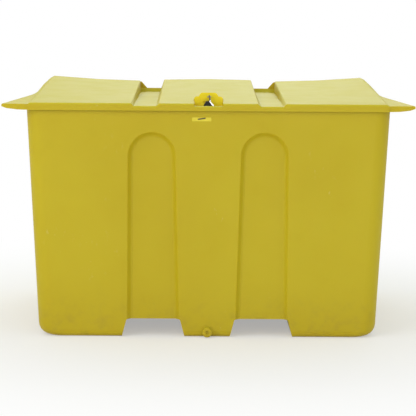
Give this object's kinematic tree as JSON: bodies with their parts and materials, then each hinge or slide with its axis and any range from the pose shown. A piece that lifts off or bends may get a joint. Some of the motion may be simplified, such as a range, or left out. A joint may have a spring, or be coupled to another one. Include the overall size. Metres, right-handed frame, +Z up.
{
  "type": "street grit salt bin",
  "caption": "Large tapered plastic grit bin with a hinged sloping lid, fork tunnels, arched recesses, a lock pocket with an open padlock and a drain plug.",
  "frame": {"origin": "centre of the footprint on the ground", "axes": "+Z up, +X to the right along the front, -Y out of the front, where the lock pocket is"},
  "size_m": [1.63, 1.21, 1.0177],
  "materials": {
    "yellow_plastic": "matte",
    "yellow_paint": "satin",
    "zinc_steel": "satin",
    "polished_steel": "polished",
    "black_cover": "satin",
    "lock_brass": "satin",
    "black_rubber": "matte"
  },
  "bodies": {
    "tub": {"tub": "yellow_plastic", "drain_bush": "yellow_plastic", "hinge_tub_leaf_left": "zinc_steel", "hinge_tub_leaf_right": "zinc_steel", "hinge_pin_left": "zinc_steel", "hinge_pin_right": "zinc_steel", "hinge_tub_bolts": "zinc_steel", "hinge_tub_nuts": "zinc_steel", "hinge_tub_plate_left": "zinc_steel", "hinge_tub_plate_right": "zinc_steel", "lock_tongue": "yellow_paint", "tongue_bolts": "zinc_steel", "tongue_nuts": "zinc_steel"},
    "lid": {"lid": "yellow_plastic", "hinge_lid_leaf_left": "zinc_steel", "hinge_lid_leaf_right": "zinc_steel", "hinge_lid_bolts": "zinc_steel", "hinge_lid_nuts": "zinc_steel", "hinge_lid_plate_left": "zinc_steel", "hinge_lid_plate_right": "zinc_steel", "padlock_eye": "zinc_steel", "eye_nuts": "zinc_steel", "eye_plate": "zinc_steel"},
    "shackle": {"padlock_shackle": "polished_steel"},
    "padlock": {"padlock_body": "black_cover", "padlock_case": "polished_steel"},
    "key_cylinder": {"padlock_cylinder": "lock_brass"},
    "drain": {"drain_plug": "yellow_plastic", "drain_seal": "black_rubber"}
  },
  "joints": [
    {"name": "lid_hinge", "type": "hinge", "parent": "tub", "child": "lid", "pos_m": [0, 0.599, 0.917], "axis": [-1, 0, 0], "range_deg": [0, 100]},
    {"name": "padlock_swing", "type": "hinge", "parent": "lid", "child": "shackle", "pos_m": [0.0026, -0.546, 0.9612], "axis": [-1, 0, 0], "range_deg": [-5, 15]},
    {"name": "padlock_release", "type": "slide", "parent": "shackle", "child": "padlock", "axis": [-0.1736, 0, 0.9848], "range_m": [0, 0.005]},
    {"name": "padlock_key", "type": "hinge", "parent": "padlock", "child": "key_cylinder", "pos_m": [0.00317, -0.536, 0.90542], "axis": [-0.1736, 0, 0.9848], "range_deg": [0, 90]},
    {"name": "drain_pull", "type": "slide", "parent": "tub", "child": "drain", "axis": [0, -1, 0], "range_m": [0, 0.04]}
  ]
}
